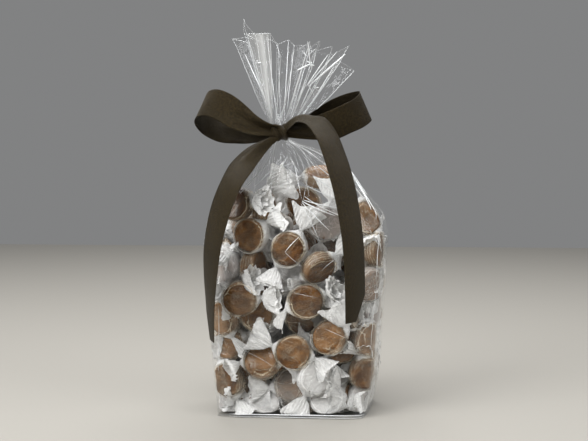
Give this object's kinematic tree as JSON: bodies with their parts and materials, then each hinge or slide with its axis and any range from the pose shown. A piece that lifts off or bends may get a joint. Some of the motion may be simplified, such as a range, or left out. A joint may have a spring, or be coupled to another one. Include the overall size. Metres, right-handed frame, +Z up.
{
  "type": "gift bag of wrapped caramel candy",
  "caption": "Clear flat-bottomed gift bag full of round soft caramels, each twist-wrapped in white waxed paper, with its neck tied by a ribbon bow under a fan of loose film.",
  "frame": {"origin": "middle of the flat base, on the surface the bag stands on", "axes": "+Z up through the neck, +X to the right along the wide side, -Y out of the front, where the bow is"},
  "size_m": [0.1674, 0.1159, 0.336],
  "materials": {
    "film": "clear glossy film with sharp creases",
    "ribbon": "dark olive-brown ribbed ribbon",
    "caramel": "smooth soft caramel",
    "wrapper": "translucent white waxed paper"
  },
  "bodies": {
    "root": {"bag": "film", "ribbon": "ribbon"}
  },
  "joints": []
}
